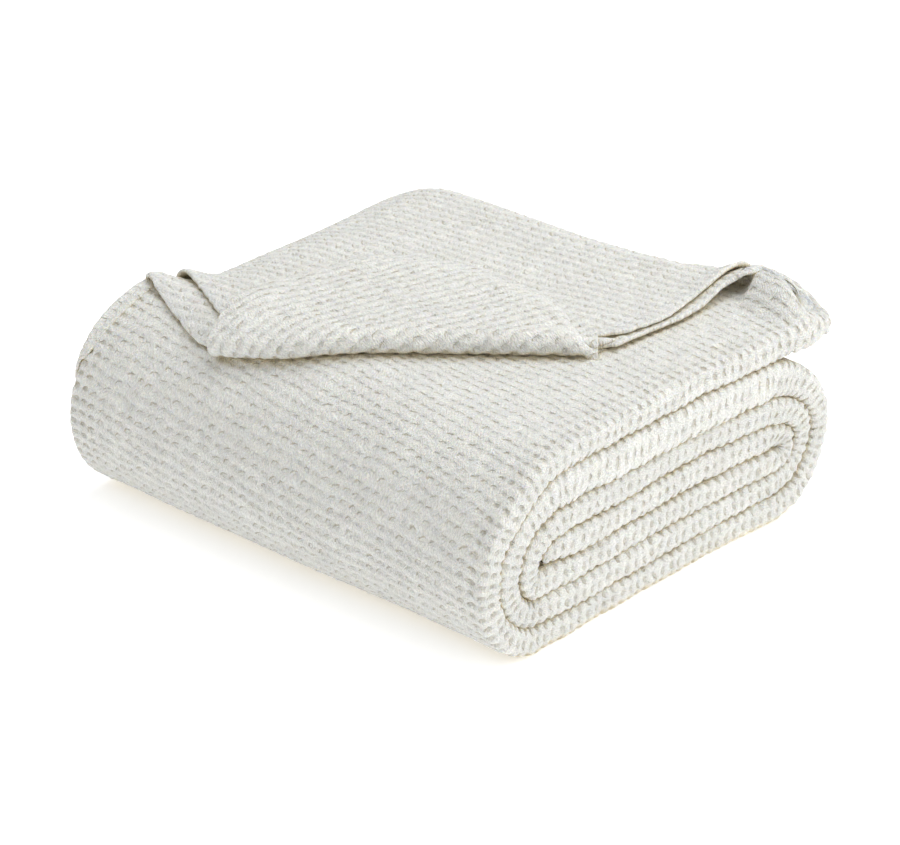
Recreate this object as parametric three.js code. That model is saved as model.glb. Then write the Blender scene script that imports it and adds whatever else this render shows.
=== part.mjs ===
// A cotton throw blanket, folded lengthwise into a strip, rolled flat, with its end turned back.
// Millimetres, +Z up. X runs along the roll, Y from its rounded front to its back.
import * as THREE from 'three';

// The cloth
const STRIP = 300;
const BAND = 14.5;
const GAP = 0.5;
const PITCH = BAND + GAP;
const PLY = 2.6;
const PLY_GAP = 0.4;
const HEM = 12;
const SEAM_GAP = 0.35;
const END_ROUND = 7;
const END_PINCH = 0.42;
const HEM_BACK = 5.5;

// The roll's outline: the outermost arcs, and the levels of its top runs
const DEPTH = 278;
const FRONT_LEVEL = 46;
const BACK_LEVEL = 45;
const WRAP_TOP = 110;
const SECOND_TOP = 95;
const THIRD_TOP = 74.5;
const CORE_TOP = 59.5;
const FRONT_REACH = { up: 68, down: 42 };
const BACK_REACH = { up: 57, down: 45 };
const CORE_FRONT = 47;
const CORE_NOSE = 20;
const CORE_SAG = 3;
const WRAP_END = 248;
const ARC_STEPS = 14;
const RUN_STEPS = 5;

// The loop at the back, where two plies turn forward again
const LOOP_CENTRE = 266;
const LOOP_SLIDE = 58;
const LOOP_TOP_Y = 262;

// The turned-back flap, and its corner folded over once more
const FLAP_RIGHT = 92;
const FLAP_FLOOR = WRAP_TOP + PLY_GAP;
const UPPER_FLOOR = FLAP_FLOOR + PLY + PLY_GAP;
const FLAP_TOP = UPPER_FLOOR + PLY;
const FOLD_RIGHT = new THREE.Vector2(92, 152);
const FOLD_LEFT = new THREE.Vector2(-62, 18);
const HEM_RISE = 0.52;
const UPPER_STEP_BACK = 20;
const DRAPE_ROUND = 7;
const DRAPE_DROP = 46;
const CORNER_AT = 115;
const CORNER_REACH = 97;
const CORNER_INSET = 6;
const FOLD_TRIM = 10;
const MARGIN_TAPER = 0.85;
const TAPER_FROM = 0.35;
const COLUMN = 18;

// The care label and the sewing
const THREAD = 0.4;
const STITCH_IN = 2;
const CORNER_COVER = 32;
const LABEL = { width: 28, drop: 40, thick: 0.6, y: 222, top: 60, stand_off: 0.6 };

const LEFT = -STRIP / 2;
const RIGHT = STRIP / 2;
const FOLD = FOLD_LEFT.clone().sub(FOLD_RIGHT);
const FOLD_LENGTH = FOLD.length();
const FOLD_DIR = FOLD.clone().normalize();
const FOLD_IN = new THREE.Vector2(FOLD_DIR.y, -FOLD_DIR.x);
const FOLD_WIDTH = FOLD_RIGHT.x - FOLD_LEFT.x;
const FOLD_LEVEL = FLAP_TOP + PLY_GAP / 2;
const FOLD_INNER = PLY_GAP / 2 + PLY;
const FOLD_OUTER = FOLD_INNER + PLY_GAP + PLY;
const FOLD_CLEAR = (FOLD_OUTER + PLY_GAP) / FOLD_IN.y;
const LOOP_LEVEL = (WRAP_TOP - BAND + FLAP_TOP) / 2;
const LOOP_RADIUS = (FLAP_TOP - WRAP_TOP + BAND) / 2;

const cloth = { color: 0xece8dc, roughness: 0.95, metalness: 0 };
const hemCloth = { color: 0xefebe0, roughness: 0.92, metalness: 0 };
const thread = { color: 0xf4f1e8, roughness: 0.7, metalness: 0 };
const satin = { color: 0xf6f5f1, roughness: 0.45, metalness: 0 };

const lerp = THREE.MathUtils.lerp;
const smooth = (t) => THREE.MathUtils.smoothstep(t, 0, 1);
const steps = (count) => Array.from({ length: count + 1 }, (_, i) => i / count);

function addPart(body, name, geometry, look) {
  const mesh = new THREE.Mesh(geometry, new THREE.MeshStandardMaterial(look));
  mesh.name = name;
  body.add(mesh);
}

// A closed skin over rings of points; each ring is closed, and the first and last are capped
// across their two facing halves.
function loft(rings) {
  const size = rings[0].length;
  const half = size / 2;
  const index = [];
  const quad = (a, b, c, d) => index.push(a, b, c, a, c, d);
  for (let r = 0; r + 1 < rings.length; r++) {
    for (let i = 0; i < size; i++) {
      const j = (i + 1) % size;
      quad(r * size + i, r * size + j, (r + 1) * size + j, (r + 1) * size + i);
    }
  }
  const last = (rings.length - 1) * size;
  for (let i = 0; i + 1 < half; i++) {
    const far = size - 1 - i;
    quad(i, far, far - 1, i + 1);
    quad(last + i, last + i + 1, last + far - 1, last + far);
  }
  const geometry = new THREE.BufferGeometry();
  const flat = rings.flat().flatMap((p) => [p.x, p.y, p.z]);
  geometry.setAttribute('position', new THREE.Float32BufferAttribute(flat, 3));
  geometry.setIndex(volume(flat, index) < 0 ? index.reverse() : index);
  geometry.computeVertexNormals();
  return geometry;
}

function volume(flat, index) {
  const at = (i) => new THREE.Vector3(flat[3 * i], flat[3 * i + 1], flat[3 * i + 2]);
  let sum = 0;
  for (let i = 0; i < index.length; i += 3) {
    sum += at(index[i]).dot(at(index[i + 1]).cross(at(index[i + 2])));
  }
  return sum;
}

// A thick ply: point(u, v, lift) gives the cloth at a height above its underside
function ply(us, vs, point, thick = PLY) {
  const ring = (u) => [
    ...vs.map((v) => point(u, v, thick)),
    ...vs.toReversed().map((v) => point(u, v, 0)),
  ];
  return loft(us.map(ring));
}

// ---- The roll ----

// One quarter of a turn, as pairs of outer and inner points from angle a to angle b
function arc(side, reach, height, turn, a, b, thickA = BAND, thickB = BAND) {
  const front = side === 'front';
  const apex = front ? turn * PITCH : DEPTH - turn * PITCH;
  const centre = front ? apex + reach : apex - reach;
  const level = front ? FRONT_LEVEL : BACK_LEVEL;
  return steps(ARC_STEPS).map((t) => {
    const angle = lerp(a, b, t);
    const thick = lerp(thickA, thickB, t);
    const at = (inset) => new THREE.Vector2(
      centre + (front ? -1 : 1) * (reach - inset) * Math.cos(angle),
      level + (height - inset) * Math.sin(angle),
    );
    return { outer: at(0), inner: at(thick) };
  });
}

function frontTurn(turn, top, thickTop = BAND) {
  const up = FRONT_REACH.up - turn * PITCH;
  const down = Math.max(FRONT_REACH.down - turn * PITCH, PITCH);
  const low = FRONT_LEVEL - turn * PITCH;
  const quarter = Math.PI / 2;
  return [
    ...arc('front', up, top - FRONT_LEVEL, turn, quarter, 0, thickTop, BAND),
    ...arc('front', down, low, turn, 0, -quarter).slice(1),
  ];
}

function backTurn(turn, top, thickTop = BAND) {
  const up = BACK_REACH.up - turn * PITCH;
  const down = Math.max(BACK_REACH.down - turn * PITCH, PITCH);
  const low = BACK_LEVEL - turn * PITCH;
  const quarter = Math.PI / 2;
  return [
    ...arc('back', down, low, turn, -quarter, 0),
    ...arc('back', up, top - BACK_LEVEL, turn, 0, quarter, BAND, thickTop).slice(1),
  ];
}

// Fills the straight run between two turns, leaving a seam's gap at its far end if asked
function run(from, to, endGap = 0) {
  const length = from.outer.distanceTo(to.outer);
  return steps(RUN_STEPS).slice(1).map((t) => {
    const s = t * (1 - endGap / length);
    return { outer: from.outer.clone().lerp(to.outer, s), inner: from.inner.clone().lerp(to.inner, s) };
  });
}

function level(y, top, thick = BAND) {
  return { outer: new THREE.Vector2(y, top), inner: new THREE.Vector2(y, top - thick) };
}

// A point of a band's section, at a depth in millimetres from its outer face
function inBand(x, pair, depth) {
  const p = pair.outer.clone().lerp(pair.inner, depth / pair.outer.distanceTo(pair.inner));
  return new THREE.Vector3(x, p.x, p.y);
}

// A band of folded cloth along the strip, with the rounded folds at both ends of the roll.
// hemmed leaves room at the left end for the cloth's own edge, which lies outside the folds.
function band(pairs, hemmed = false) {
  const room = hemmed ? PLY + PLY_GAP : 0;
  return loft(bandSlices(hemmed).map(({ x, pinch, underHem }) => {
    const skin = underHem ? room : 0;
    const sides = pairs.map((pair) => {
      const thick = pair.outer.distanceTo(pair.inner);
      const squeeze = pinch * (thick - skin);
      return [inBand(x, pair, skin + squeeze), inBand(x, pair, thick - squeeze)];
    });
    return [...sides.map((side) => side[0]), ...sides.toReversed().map((side) => side[1])];
  }));
}

function bandSlices(hemmed) {
  const ramp = [0, 0.15, 0.4, 0.7, 1];
  const round = (d) => END_PINCH * (1 - Math.sqrt(1 - (1 - d) ** 2));
  const ends = ramp.map((d) => ({ in: d * END_ROUND, pinch: round(d) }));
  const left = ends.map((end) => ({ x: LEFT + end.in, pinch: end.pinch, underHem: hemmed }));
  const right = ends.toReversed().map((end) => ({ x: RIGHT - end.in, pinch: end.pinch, underHem: false }));
  if (!hemmed) return [...left, ...right];
  const step = LEFT + HEM_BACK + HEM + SEAM_GAP;
  const past = [step, step + SEAM_GAP].map((x, i) => ({ x, pinch: 0, underHem: i === 0 }));
  return [...left, ...past, ...right];
}

// The cloth's own edge near the roll's left end: a hem lying over the folds
function sideHem(pairs) {
  const from = LEFT + HEM_BACK;
  return loft([from, from + HEM].map((x) => [
    ...pairs.map((pair) => inBand(x, pair, 0)),
    ...pairs.toReversed().map((pair) => inBand(x, pair, PLY)),
  ]));
}

function secondThick() {
  return SECOND_TOP - THIRD_TOP - GAP;
}

// The tongue in the middle, whose rounded front end sags into the innermost turn
function corePairs() {
  const tail = backTurn(2, CORE_TOP).at(-1).outer.x - 1;
  const nose = steps(8).slice(1).map((t) => {
    const rise = Math.sin((t * Math.PI) / 2);
    const y = CORE_FRONT + CORE_NOSE * (1 - Math.cos((t * Math.PI) / 2));
    const middle = CORE_TOP - BAND / 2 - CORE_SAG * (1 - rise);
    return level(y, middle + (rise * BAND) / 2, rise * BAND);
  });
  return [...nose, ...run(nose.at(-1), level(tail, CORE_TOP))];
}

function innerPairs() {
  const back = backTurn(2, CORE_TOP);
  const front = frontTurn(2, THIRD_TOP);
  const tail = level(backTurn(1, THIRD_TOP).at(-1).outer.x - 1, THIRD_TOP);
  return [
    ...back.toReversed(),
    ...run(back[0], front.at(-1)).slice(0, -1),
    ...front.toReversed(),
    ...run(front[0], tail),
  ];
}

function middlePairs() {
  const thick = secondThick();
  const back = backTurn(1, THIRD_TOP);
  const front = frontTurn(1, SECOND_TOP, thick);
  const tail = level(backTurn(0, SECOND_TOP).at(-1).outer.x - 1, SECOND_TOP, thick);
  return [
    ...back.toReversed(),
    ...run(back[0], front.at(-1)).slice(0, -1),
    ...front.toReversed(),
    ...run(front[0], tail),
  ];
}

function outerPairs() {
  const back = backTurn(0, SECOND_TOP, secondThick());
  const front = frontTurn(0, WRAP_TOP);
  return [
    ...back.toReversed(),
    ...run(back[0], front.at(-1)).slice(0, -1),
    ...front.toReversed(),
  ];
}

function topPairs() {
  const start = frontTurn(0, WRAP_TOP)[0].outer.x + SEAM_GAP;
  return steps(RUN_STEPS).map((t) => level(lerp(start, WRAP_END, t), WRAP_TOP));
}

// ---- The loop at the back ----

function loopPly(inward) {
  const radius = LOOP_RADIUS - inward;
  const bottom = steps(3).map((t) => [lerp(WRAP_END + SEAM_GAP, LOOP_CENTRE, t), -Math.PI / 2]);
  const bend = steps(2 * ARC_STEPS).slice(1).map((t) => [LOOP_CENTRE, lerp(-Math.PI / 2, Math.PI / 2, t)]);
  const top = [[LOOP_TOP_Y, Math.PI / 2]];
  const path = [...bottom, ...bend, ...top];
  const us = steps(path.length - 1);
  const point = (u, v, lift) => {
    const [y, angle] = path[Math.round(u * (path.length - 1))];
    const r = radius - PLY + lift;
    const x = lerp(LEFT, RIGHT - LOOP_SLIDE * smooth(u), v);
    return new THREE.Vector3(x, y + r * Math.cos(angle), LOOP_LEVEL + r * Math.sin(angle));
  };
  return ply(us, steps(6), point);
}

// ---- The flap ----

const FLAT_WIDTH = FLAP_RIGHT - LEFT - DRAPE_ROUND;
const TURN_WIDTH = (DRAPE_ROUND * Math.PI) / 2;
const FULL_WIDTH = FLAT_WIDTH + TURN_WIDTH + DRAPE_DROP;

// Across the flap: flat from its right edge, round the roll's left end, then hanging down
function across(distance, y, height) {
  const radius = DRAPE_ROUND + height - WRAP_TOP;
  if (distance <= FLAT_WIDTH) return new THREE.Vector3(FLAP_RIGHT - distance, y, height);
  if (distance <= FLAT_WIDTH + TURN_WIDTH) {
    const angle = (distance - FLAT_WIDTH) / DRAPE_ROUND;
    const x = LEFT + DRAPE_ROUND - radius * Math.sin(angle);
    return new THREE.Vector3(x, y, WRAP_TOP - DRAPE_ROUND + radius * Math.cos(angle));
  }
  const down = distance - FLAT_WIDTH - TURN_WIDTH;
  return new THREE.Vector3(LEFT + DRAPE_ROUND - radius, y, WRAP_TOP - DRAPE_ROUND - down);
}

// The flap's front edge at a distance in from its right edge: the fold, then the slanting hem
function frontEdge(distance, stepBack) {
  if (distance <= FOLD_WIDTH) {
    return lerp(FOLD_RIGHT.y, FOLD_LEFT.y, distance / FOLD_WIDTH) + FOLD_CLEAR;
  }
  return FOLD_LEFT.y + HEM_RISE * (distance - FOLD_WIDTH) + stepBack;
}

// The hanging margin shortens towards the loop at the back
function hang(distance, v) {
  const beyond = Math.max(0, distance - FLAT_WIDTH - TURN_WIDTH);
  return distance - MARGIN_TAPER * beyond * smooth((v - TAPER_FROM) / (1 - TAPER_FROM));
}

function columns(from, to) {
  const marks = [from, to, FOLD_WIDTH, FOLD_WIDTH + SEAM_GAP, FLAT_WIDTH];
  for (let d = COLUMN * Math.ceil(from / COLUMN); d < to; d += COLUMN) marks.push(d);
  for (const t of steps(6)) marks.push(FLAT_WIDTH + t * TURN_WIDTH);
  const inside = marks.filter((d) => d >= from && d <= to).sort((a, b) => a - b);
  return inside.filter((d, i) => i === 0 || d - inside[i - 1] > 0.1);
}

// The main panel of a flap ply, inside its side hem and its front hem
function flapBody(floor, stepBack) {
  const rear = LOOP_TOP_Y - SEAM_GAP;
  const point = (distance, v, lift) => {
    const inset = distance > FOLD_WIDTH ? HEM + SEAM_GAP : 0;
    const y = lerp(frontEdge(distance, stepBack) + inset, rear, v);
    return across(hang(distance, v), y, floor + lift);
  };
  return ply(columns(HEM + SEAM_GAP, FULL_WIDTH), steps(10), point);
}

function flapSideHem(floor) {
  const rear = LOOP_TOP_Y - SEAM_GAP;
  const point = (distance, v, lift) => across(distance, lerp(frontEdge(distance, 0), rear, v), floor + lift);
  return ply([0, HEM], steps(10), point);
}

function flapFrontHem(floor, stepBack) {
  const point = (distance, v, lift) => across(distance, frontEdge(distance, stepBack) + v, floor + lift);
  return ply(columns(FOLD_WIDTH + SEAM_GAP, FULL_WIDTH), [0, HEM], point);
}

function addFlapPly(body, name, floor, stepBack) {
  addPart(body, `${name}_ply`, flapBody(floor, stepBack), cloth);
  addPart(body, `${name}_side_hem`, flapSideHem(floor), hemCloth);
  addPart(body, `${name}_front_hem`, flapFrontHem(floor, stepBack), hemCloth);
}

// ---- The folded corner ----

// How far the corner reaches in from the fold, at a distance along it
function cornerReach(s) {
  if (s < CORNER_AT) return CORNER_REACH * (1 - ((CORNER_AT - s) / CORNER_AT) ** 1.8) ** 0.85;
  return CORNER_REACH * (1 - ((s - CORNER_AT) / (FOLD_LENGTH - CORNER_AT)) ** 2) ** 0.8;
}

function onFold(s, t, z) {
  const p = FOLD_RIGHT.clone().addScaledVector(FOLD_DIR, s).addScaledVector(FOLD_IN, t);
  return new THREE.Vector3(p.x, p.y, z);
}

function foldSteps() {
  return steps(24).map((t) => lerp(FOLD_TRIM, FOLD_LENGTH - FOLD_TRIM, t));
}

// A ply of the corner: flat over the flap, then round the fold's front to its underside
function cornerPly(radius, short) {
  const flats = [1, 0.75, 0.5, 0.25, 0];
  const bends = steps(8).slice(1).map((t) => Math.PI * t);
  const point = (s, v, lift) => {
    const r = radius - PLY + lift;
    if (v < flats.length) return onFold(s, flats[v] * (cornerReach(s) - short), FOLD_LEVEL + r);
    const angle = bends[v - flats.length];
    return onFold(s, -r * Math.sin(angle), FOLD_LEVEL + r * Math.cos(angle));
  };
  const vs = [...flats, ...bends].map((_, i) => i);
  return ply(foldSteps(), vs, point);
}

function cornerHem(radius, inset) {
  const height = FOLD_LEVEL + radius - PLY;
  const point = (s, v, lift) => onFold(s, cornerReach(s) - inset - v, height + lift);
  return ply(foldSteps(), [0, HEM - SEAM_GAP], point);
}

// ---- Sewing and label ----

function threadAlong(points) {
  const curve = new THREE.CatmullRomCurve3(points);
  const round = new THREE.Shape().absellipse(0, 0, THREAD, THREAD, 0, 2 * Math.PI);
  return new THREE.ExtrudeGeometry(round, { steps: 40, curveSegments: 3, extrudePath: curve });
}

const ON_CLOTH = THREAD + 0.25;

// The sewing runs just inside each hem's folded-under edge
function sideStitch(floor) {
  const x = FLAP_RIGHT - HEM + STITCH_IN;
  const front = FOLD_RIGHT.y + HEM + FOLD_CLEAR;
  const ys = steps(4).map((t) => lerp(front, LOOP_TOP_Y - STITCH_IN, t));
  return threadAlong(ys.map((y) => new THREE.Vector3(x, y, floor + PLY + ON_CLOTH)));
}

function frontStitch(floor, stepBack) {
  const from = FOLD_WIDTH + STITCH_IN + (stepBack > 0 ? CORNER_COVER : 0);
  const marks = columns(from, FULL_WIDTH - STITCH_IN);
  const inset = HEM - STITCH_IN;
  return threadAlong(marks.map((d) => across(d, frontEdge(d, stepBack) + inset, floor + PLY + ON_CLOTH)));
}

function cornerStitch() {
  const height = FOLD_LEVEL + FOLD_OUTER + ON_CLOTH;
  const marks = steps(24).map((t) => lerp(2 * FOLD_TRIM, FOLD_LENGTH - 2 * FOLD_TRIM, t));
  return threadAlong(marks.map((s) => onFold(s, cornerReach(s) - HEM + STITCH_IN, height)));
}

function labelTag() {
  const box = new THREE.BoxGeometry(LABEL.thick, LABEL.width, LABEL.drop);
  return box.translate(labelX(), LABEL.y, LABEL.top - LABEL.drop / 2);
}

function labelX() {
  return LEFT - LABEL.stand_off - LABEL.thick / 2;
}

function labelStitch() {
  const z = LABEL.top + 2 * THREAD;
  const ends = [-0.5, 0, 0.5].map((t) => new THREE.Vector3(labelX(), LABEL.y + t * LABEL.width, z));
  return threadAlong(ends);
}

// ---- Assembly ----

function build() {
  const blanket = new THREE.Group();
  addPart(blanket, 'roll_core', band(corePairs()), cloth);
  addPart(blanket, 'inner_turn', band(innerPairs()), cloth);
  addPart(blanket, 'middle_turn', band(middlePairs()), cloth);
  addPart(blanket, 'outer_turn', band(outerPairs(), true), cloth);
  addPart(blanket, 'outer_turn_hem', sideHem(outerPairs()), hemCloth);
  addPart(blanket, 'top_wrap', band(topPairs(), true), cloth);
  addPart(blanket, 'top_wrap_hem', sideHem(topPairs()), hemCloth);
  addPart(blanket, 'loop_outer_ply', loopPly(0), cloth);
  addPart(blanket, 'loop_inner_ply', loopPly(PLY + PLY_GAP), cloth);
  addPart(blanket, 'label_stitch', labelStitch(), thread);
  addPart(blanket, 'care_label', labelTag(), satin);

  addFlapPly(blanket, 'flap_lower', FLAP_FLOOR, 0);
  addFlapPly(blanket, 'flap_upper', UPPER_FLOOR, UPPER_STEP_BACK);
  addPart(blanket, 'side_hem_stitch', sideStitch(UPPER_FLOOR), thread);
  addPart(blanket, 'lower_front_stitch', frontStitch(FLAP_FLOOR, 0), thread);
  addPart(blanket, 'upper_front_stitch', frontStitch(UPPER_FLOOR, UPPER_STEP_BACK), thread);

  addPart(blanket, 'corner_inner_ply', cornerPly(FOLD_INNER, CORNER_INSET + HEM), cloth);
  addPart(blanket, 'corner_inner_hem', cornerHem(FOLD_INNER, CORNER_INSET), hemCloth);
  addPart(blanket, 'corner_outer_ply', cornerPly(FOLD_OUTER, HEM), cloth);
  addPart(blanket, 'corner_outer_hem', cornerHem(FOLD_OUTER, 0), hemCloth);
  addPart(blanket, 'corner_hem_stitch', cornerStitch(), thread);

  const box = new THREE.Box3().setFromObject(blanket);
  const centre = box.getCenter(new THREE.Vector3());
  blanket.position.set(-centre.x, -centre.y, -box.min.z);
  return blanket;
}

export default build();
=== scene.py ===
"""A cream cotton throw, folded to a strip and rolled flat, its end turned back over the top."""
import math

import bpy
import numpy as np
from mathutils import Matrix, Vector


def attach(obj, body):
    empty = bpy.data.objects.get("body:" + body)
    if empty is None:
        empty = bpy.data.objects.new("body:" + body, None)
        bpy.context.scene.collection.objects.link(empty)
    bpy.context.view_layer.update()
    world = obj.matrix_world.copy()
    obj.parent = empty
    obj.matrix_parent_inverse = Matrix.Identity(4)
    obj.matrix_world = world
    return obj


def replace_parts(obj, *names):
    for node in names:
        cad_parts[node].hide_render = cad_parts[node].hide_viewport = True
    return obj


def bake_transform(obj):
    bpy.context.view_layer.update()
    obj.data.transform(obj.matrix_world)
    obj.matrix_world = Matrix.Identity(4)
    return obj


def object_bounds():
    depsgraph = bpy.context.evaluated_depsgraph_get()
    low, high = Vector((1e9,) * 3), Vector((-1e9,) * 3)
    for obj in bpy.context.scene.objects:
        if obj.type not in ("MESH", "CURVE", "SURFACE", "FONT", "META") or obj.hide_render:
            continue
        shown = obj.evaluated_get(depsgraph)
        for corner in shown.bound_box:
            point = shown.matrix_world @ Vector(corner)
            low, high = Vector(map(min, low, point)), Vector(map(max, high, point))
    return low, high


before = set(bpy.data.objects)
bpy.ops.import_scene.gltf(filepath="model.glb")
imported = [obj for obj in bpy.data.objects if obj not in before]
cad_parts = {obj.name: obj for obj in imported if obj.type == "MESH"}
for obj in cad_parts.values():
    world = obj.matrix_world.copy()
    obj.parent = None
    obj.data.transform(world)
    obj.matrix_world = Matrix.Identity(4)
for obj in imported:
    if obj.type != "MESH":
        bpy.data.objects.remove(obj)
CAD_BOX = [[float(c) for c in corner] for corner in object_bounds()]
MM = 0.001

# ---- The strip and the roll, in millimetres from the roll's middle, front and floor ----
STRIP = 300.0
HALF = STRIP / 2
BAND = 14.5
GAP = 0.2
PITCH = BAND + GAP
DEPTH = 278.0
FRONT_LEVEL, BACK_LEVEL = 46.0, 45.0
WRAP_TOP, SECOND_TOP, THIRD_TOP, CORE_TOP = 110.0, 95.0, 74.5, 59.5
FRONT_REACH = (68.0, 42.0)
BACK_REACH = (57.0, 45.0)
CORE_FRONT, CORE_NOSE, CORE_SAG = 47.0, 20.0, 3.0
END_ROUND = 5.0
END_SQUARE = 0.38
FOLD_STEP_IN = 2.6
EDGE_WRAP = 2.1
END_NEAR = 14.0
HIDDEN_IN, HIDDEN_GAP = 6.0, 40.0

# ---- The knit: cells and heights in millimetres, pits in cells ----
CELL_ACROSS, CELL_ALONG, CELL_SKEW = 7.0, 6.7, 0.12
CELL_WANDER, WANDER_SIZE = 0.17, 8.0
CELL_DRIFT, DRIFT_ACROSS, DRIFT_ALONG = 0.17, 24.0, 27.0
PIT_DEPTH, PIT_MEAN, PIT_SHIFT = 1.9, 0.25, 0.04
PIT_WIDE, PIT_WIDER = 0.27, 0.06
PIT_UP, PIT_DOWN, PIT_TALLER = 0.17, 0.27, 0.05
PIT_LEAN, LEAN_MEAN = 0.9, 0.4
PIT_WALL, PIT_SHALLOWEST = 1.3, 0.35
PUFF_ALONG, PUFF_ALONG_AT = 0.13, 0.42
PUFF_ACROSS, PUFF_ACROSS_AT = 0.10, 0.5
YARN_SCALE = 7
YARN = ((0.20, 2.4, 7), (0.17, 1.3, 8))
FINE = 0.95

# How far the pits stand open above and below, and how much of the relief is left.
PLY_RELIEF = (0.4, 0.3, 1.0)
CORNER_RELIEF = (0.5, 0.3, 1.2)
HEM_RELIEF = (0.25, 0.2, 0.6)
NO_RELIEF = (0, 0, 0)
RIM_RELIEF, RIM_WIDE = 0.3, 3.0
ROLL_OPEN, END_MORE_OPEN = 0.36, 0.34
END_PART, END_ROUGH_SIZE = (126.0, 16.0), 9.0

# ---- Slow unevenness: amount, size and seed of each noise ----
SETTLE_X = ((1.5, 95.0, 11), (0.6, 34.0, 14))
SETTLE_Y = ((1.3, 95.0, 12), (0.5, 34.0, 15))
SETTLE_Z = ((1.2, 80.0, 13), (0.5, 34.0, 16))
SETTLE_FREE = 12.0
END_WANDER = ((1.5, 70.0, 21), (0.9, 26.0, 22))
SAG, SAG_FROM, SAG_OVER, SAG_POWER = 21.0, -95.0, 55.0, 1.8
SAG_BEHIND, SAG_HEIGHT_POWER = (58.0, 45.0), 1.5

# ---- The lip at the back, where the strip turns up and forward ----
LIP_RUN, LIP_BOTTOM, LIP_DEEP = 24.0, 94.0, 17.0
HOLLOW_DEEP = 6.0
LIP_AHEAD = 38.0
LIP_LAST = 105.0
LIP_RUN_ROWS, LIP_TURN_ROWS, LIP_EDGE_ROWS = 25, 56, 7
LIP_SOLID = (96.0, 20.0)
LIP_SHORTER = 30.0
LIP_COVER, LIP_COVER_SUNK = (1.4, -1.2), 0.4
LIP_UNCOVERED = (132.0, 8.0)
LIP_FULL = 4.4
LIP_EDGE_IN = 1.5
LIP_MIDDLE, LIP_MIDDLE_STEPS = 243.0, ((6.0, -20.0, 100.0), (15.0, 60.0, 40.0))
LIP_TOP = 111.0
LIP_TOP_STEPS = ((1.5, 20.0, 50.0), (4.5, 84.0, 14.0), (7.5, 97.0, 14.0), (-14.0, 128.0, 26.0))
HOLLOW_HALF, HOLLOW_STEPS = 0.6, ((3.0, 82.0, 12.0),)
LIP_SLIDE, LIP_SLIDE_RIGHT, LIP_SLIDE_POWER = 12.0, (60.0, 90.0), 1.6
LIP_ROUND = 13.0

# ---- The flap and its folded corner: heights above the top of the roll ----
THIN = 2.6
LOWER_H, UPPER_H = 2.2, 5.6
INNER_H, OUTER_H = 9.3, 12.9
FLAP_OVER = 22.0
DRAPE_FROM = -139.0
DRAPE_ROUND = 9.0
DRAPE_BEND = DRAPE_ROUND + 4
DRAPE_BEND_LONG = math.pi / 2 * DRAPE_BEND
DRAPE_DROP = 42.0
FLAP_LEFT = DRAPE_FROM - DRAPE_BEND_LONG - DRAPE_DROP
FLAP_LONG = 218.0
RIGHT_AT = 200.0
EDGE_WAVE, EDGE_WAVE_SIZE = (0.5, 0.55), 3.2
SINK, SINK_BEHIND = 3.5, (5.0, 15.0)
SINK_RIGHT, SINK_BACK = (103.0, 10.0), (245.0, 14.0)
LOWER_FRONT_FROM, LOWER_FRONT = -75.0, (29.5, 0.36, 0.00098)
UPPER_FRONT_FROM, UPPER_FRONT = -66.0, (43.5, 0.47)
BEHIND_FOLD = 1.5
EDGE_LIFT, EDGE_LIFT_OVER, FLARE_OVER = 1.2, 7.0, (13.0, 13.0)
FOLD_LINE = ((118.0, 170.0), (103.0, 158.0), (75.0, 134.0), (50.0, 113.0), (25.0, 90.0),
             (0.0, 66.5), (-25.0, 49.5), (-50.0, 38.5), (-80.0, 29.5), (-110.0, 24.0))
FOLD_START = 2.0
FOLD_LONG = 213.0
CORNER_TOP, CORNER_PEAK, CORNER_DROP = 106.0, 0.55, 66.0
FOLD_MEAN = {"x": 11.0, "u": 75.0, "way": (-0.754, -0.656)}
TUCK = 7.0
SLANT, SLANT_OVER = 9.0, 0.16
DROP_OVER = 24.0
RUMPLE, RUMPLE_SIZE, RUMPLE_LEFT = 1.5, 17.0, (0.72, 0.2)
SWELL, SWELL_SIZE = 0.8, 30.0
PUFF = (1.6, (0.93, 22), (0.06, 16))
DIP = (2.6, (0.15, 14), (0.09, 12))
NARROW, NARROW_OVER = 0.5, 0.17
INNER_SHORTER, INNER_SHORTER_FROM = 16.0, (0.12, 0.15)

# ---- Hems, stitches and the label ----
HEM = 10.0
HEM_THICK = 2.5
HEM_PROUD = 0.7
SIDE_HEM_LONG, SIDE_HEM_FLAT = 118.0, 0.118
TOP_HEM_END = 216.0
STITCH_LONG, STITCH_WIDE, STITCH_STEP = 2.8, 0.55, 4.2
STITCH_IN = HEM - 2.4
STITCH_ABOVE = HEM_THICK / 2 + 0.1
STITCH_ENDS_SUNK = 0.5
LABEL = {"y": 222.0, "top": 59.7, "wide": 28.0, "drop": 40.0, "thick": 0.5}

RIGHT_X = CAD_BOX[1][0]
FRONT_Y = CAD_BOX[0][1]
FLOOR_Z = CAD_BOX[0][2]


def to_row(p):
    """Millimetres from the roll's middle, front and floor, to metres in the row frame."""
    shift = np.array([RIGHT_X - HALF * MM, FRONT_Y, FLOOR_Z])
    return np.asarray(p, float) * MM + shift


# ---- Small numeric helpers ----

HASH_STEPS, HASH_SPREAD = (127.1, 311.7, 74.7), 43758.5453
SEED_SHIFT = 17.3
LAYER_SHIFT = (3.1, 1.7)


def smooth(t):
    t = np.clip(t, 0.0, 1.0)
    return t * t * (3 - 2 * t)


def bump(t):
    return np.exp(-t * t)


def pack(*parts):
    return np.stack(np.broadcast_arrays(*parts), axis=-1)


def hash01(i, j, k):
    """A number from 0 to 1 that has no pattern from one whole number to the next."""
    phase = i * HASH_STEPS[0] + j * HASH_STEPS[1] + k * HASH_STEPS[2]
    return np.modf(np.abs(np.sin(phase) * HASH_SPREAD))[0]


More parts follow.
